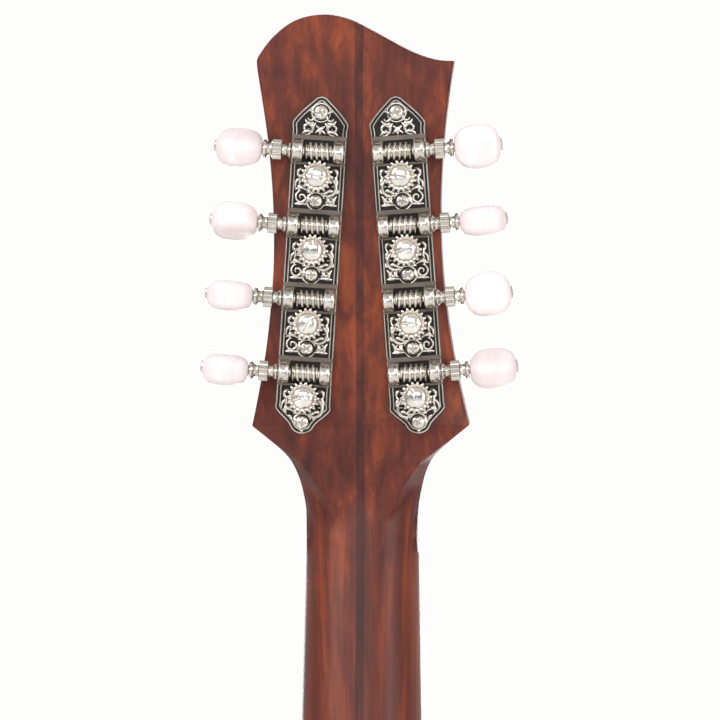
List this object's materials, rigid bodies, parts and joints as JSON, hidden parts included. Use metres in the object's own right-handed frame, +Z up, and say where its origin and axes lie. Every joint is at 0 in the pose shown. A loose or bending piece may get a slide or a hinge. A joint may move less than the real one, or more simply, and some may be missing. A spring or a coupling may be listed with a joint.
{
  "type": "mandolin",
  "caption": "Carved-body mandolin, octave size, with f-shaped sound holes, paired strings, worm-geared tuners on two long plates and a height-adjustable bridge.",
  "frame": {"origin": "middle of the outer face of the end pin, at the lower end of the body", "axes": "+Z up along the neck towards the headstock, -Y towards the strings, +Y towards the back, bass side -X"},
  "size_m": [0.318, 0.1228, 0.8938],
  "materials": {
    "bare_wood": "bare wood",
    "bone": "polished bone",
    "brass": "turned brass",
    "cream_binding": "cream plastic",
    "dark_strip_wood": "satin dark hardwood strip",
    "ebony": "satin black hardwood",
    "nickel": "nickel plate, warm",
    "stained_maple": "gloss stained maple",
    "stained_spruce": "gloss stained spruce",
    "stained_wood": "satin stained maple",
    "steel": "drawn steel",
    "white_plastic": "pearly white plastic"
  },
  "bodies": {
    "instrument": {"rim": "stained_maple", "top_binding": "cream_binding", "back_binding": "cream_binding", "top_plate": "stained_spruce", "back_plate": "stained_maple", "neck_block": "bare_wood", "tail_block": "bare_wood", "tone_bar_bass": "stained_spruce", "tone_bar_treble": "stained_spruce", "neck_wood_bass": "stained_wood", "neck_centre_strip": "dark_strip_wood", "neck_wood_treble": "stained_wood", "headstock_overlay": "ebony", "truss_rod_cover": "ebony", "fingerboard": "ebony", "nut": "bone", "truss_rod": "steel", "tuner_plate_bass": "nickel", "tuner_plate_treble": "nickel", "bridge_base": "ebony", "tailpiece_base": "nickel", "end_pin": "ebony", "string_g1": "steel", "string_g2": "steel", "string_d1": "steel", "string_d2": "steel", "string_e1": "steel", "string_e2": "steel", "string_a1": "steel", "string_a2": "steel"},
    "tuner_g1": {"worm_shaft_g1": "nickel", "tuner_button_g1": "white_plastic"},
    "post_g1": {"string_post_g1": "nickel"},
    "tuner_g2": {"worm_shaft_g2": "nickel", "tuner_button_g2": "white_plastic"},
    "post_g2": {"string_post_g2": "nickel"},
    "tuner_d1": {"worm_shaft_d1": "nickel", "tuner_button_d1": "white_plastic"},
    "post_d1": {"string_post_d1": "nickel"},
    "tuner_d2": {"worm_shaft_d2": "nickel", "tuner_button_d2": "white_plastic"},
    "post_d2": {"string_post_d2": "nickel"},
    "tuner_e1": {"worm_shaft_e1": "nickel", "tuner_button_e1": "white_plastic"},
    "post_e1": {"string_post_e1": "nickel"},
    "tuner_e2": {"worm_shaft_e2": "nickel", "tuner_button_e2": "white_plastic"},
    "post_e2": {"string_post_e2": "nickel"},
    "tuner_a1": {"worm_shaft_a1": "nickel", "tuner_button_a1": "white_plastic"},
    "post_a1": {"string_post_a1": "nickel"},
    "tuner_a2": {"worm_shaft_a2": "nickel", "tuner_button_a2": "white_plastic"},
    "post_a2": {"string_post_a2": "nickel"},
    "rod_nut": {"truss_rod_nut": "brass"},
    "saddle": {"bridge_saddle": "ebony"},
    "wheel_bass": {"bridge_wheel_bass": "brass"},
    "wheel_treble": {"bridge_wheel_treble": "brass"},
    "cover": {"tailpiece_cover": "nickel"}
  },
  "joints": [
    {"name": "button_turn_g1", "type": "hinge", "parent": "instrument", "child": "tuner_g1", "pos_m": [-0.01709, 0.02686, 0.78184], "axis": [-0.9978, 0.0212, 0.0632], "continuous": true},
    {"name": "post_turn_g1", "type": "hinge", "parent": "instrument", "child": "post_g1", "pos_m": [-0.0176, 0.02446, 0.77465], "axis": [0, 0.9483, -0.3173], "continuous": true},
    {"name": "button_turn_g2", "type": "hinge", "parent": "instrument", "child": "tuner_g2", "pos_m": [-0.01556, 0.03414, 0.8036], "axis": [-0.9978, 0.0212, 0.0632], "continuous": true},
    {"name": "post_turn_g2", "type": "hinge", "parent": "instrument", "child": "post_g2", "pos_m": [-0.01607, 0.03174, 0.79641], "axis": [0, 0.9483, -0.3173], "continuous": true},
    {"name": "button_turn_d1", "type": "hinge", "parent": "instrument", "child": "tuner_d1", "pos_m": [-0.01403, 0.04143, 0.82537], "axis": [-0.9978, 0.0212, 0.0632], "continuous": true},
    {"name": "post_turn_d1", "type": "hinge", "parent": "instrument", "child": "post_d1", "pos_m": [-0.01453, 0.03902, 0.81817], "axis": [0, 0.9483, -0.3173], "continuous": true},
    {"name": "button_turn_d2", "type": "hinge", "parent": "instrument", "child": "tuner_d2", "pos_m": [-0.01249, 0.04871, 0.84713], "axis": [-0.9978, 0.0212, 0.0632], "continuous": true},
    {"name": "post_turn_d2", "type": "hinge", "parent": "instrument", "child": "post_d2", "pos_m": [-0.013, 0.0463, 0.83994], "axis": [0, 0.9483, -0.3173], "continuous": true},
    {"name": "button_turn_e1", "type": "hinge", "parent": "instrument", "child": "tuner_e1", "pos_m": [0.01709, 0.02686, 0.78184], "axis": [0.9978, 0.0212, 0.0632], "continuous": true},
    {"name": "post_turn_e1", "type": "hinge", "parent": "instrument", "child": "post_e1", "pos_m": [0.0176, 0.02446, 0.77465], "axis": [0, 0.9483, -0.3173], "continuous": true},
    {"name": "button_turn_e2", "type": "hinge", "parent": "instrument", "child": "tuner_e2", "pos_m": [0.01556, 0.03414, 0.8036], "axis": [0.9978, 0.0212, 0.0632], "continuous": true},
    {"name": "post_turn_e2", "type": "hinge", "parent": "instrument", "child": "post_e2", "pos_m": [0.01607, 0.03174, 0.79641], "axis": [0, 0.9483, -0.3173], "continuous": true},
    {"name": "button_turn_a1", "type": "hinge", "parent": "instrument", "child": "tuner_a1", "pos_m": [0.01403, 0.04143, 0.82537], "axis": [0.9978, 0.0212, 0.0632], "continuous": true},
    {"name": "post_turn_a1", "type": "hinge", "parent": "instrument", "child": "post_a1", "pos_m": [0.01453, 0.03902, 0.81817], "axis": [0, 0.9483, -0.3173], "continuous": true},
    {"name": "button_turn_a2", "type": "hinge", "parent": "instrument", "child": "tuner_a2", "pos_m": [0.01249, 0.04871, 0.84713], "axis": [0.9978, 0.0212, 0.0632], "continuous": true},
    {"name": "post_turn_a2", "type": "hinge", "parent": "instrument", "child": "post_a2", "pos_m": [0.013, 0.0463, 0.83994], "axis": [0, 0.9483, -0.3173], "continuous": true},
    {"name": "rod_nut_turn", "type": "hinge", "parent": "instrument", "child": "rod_nut", "pos_m": [0, -0.00198, 0.74418], "axis": [0, 0.0785, 0.9969], "range_deg": [-180, 180]},
    {"name": "saddle_height", "type": "slide", "parent": "instrument", "child": "saddle", "axis": [0, -1, 0], "range_m": [-0.0015, 0]},
    {"name": "wheel_turn_bass", "type": "hinge", "parent": "saddle", "child": "wheel_bass", "pos_m": [-0.034, -0.05346, 0.15672], "axis": [0, -1, 0], "range_deg": [-774.43, 0]},
    {"name": "wheel_turn_treble", "type": "hinge", "parent": "saddle", "child": "wheel_treble", "pos_m": [0.034, -0.05346, 0.15672], "axis": [0, -1, 0], "range_deg": [-774.43, 0]},
    {"name": "cover_slide", "type": "slide", "parent": "instrument", "child": "cover", "axis": [0, 0.2149, -0.9766], "range_m": [0, 0.03]}
  ],
  "couplings": [
    {"joint": "post_turn_g1", "follows": "button_turn_g1", "ratio": -0.055556},
    {"joint": "post_turn_g2", "follows": "button_turn_g2", "ratio": -0.055556},
    {"joint": "post_turn_d1", "follows": "button_turn_d1", "ratio": -0.055556},
    {"joint": "post_turn_d2", "follows": "button_turn_d2", "ratio": -0.055556},
    {"joint": "post_turn_e1", "follows": "button_turn_e1", "ratio": -0.055556},
    {"joint": "post_turn_e2", "follows": "button_turn_e2", "ratio": -0.055556},
    {"joint": "post_turn_a1", "follows": "button_turn_a1", "ratio": -0.055556},
    {"joint": "post_turn_a2", "follows": "button_turn_a2", "ratio": -0.055556},
    {"joint": "wheel_turn_bass", "follows": "saddle_height", "rad_per_m": 8976},
    {"joint": "wheel_turn_treble", "follows": "saddle_height", "rad_per_m": 8976}
  ]
}
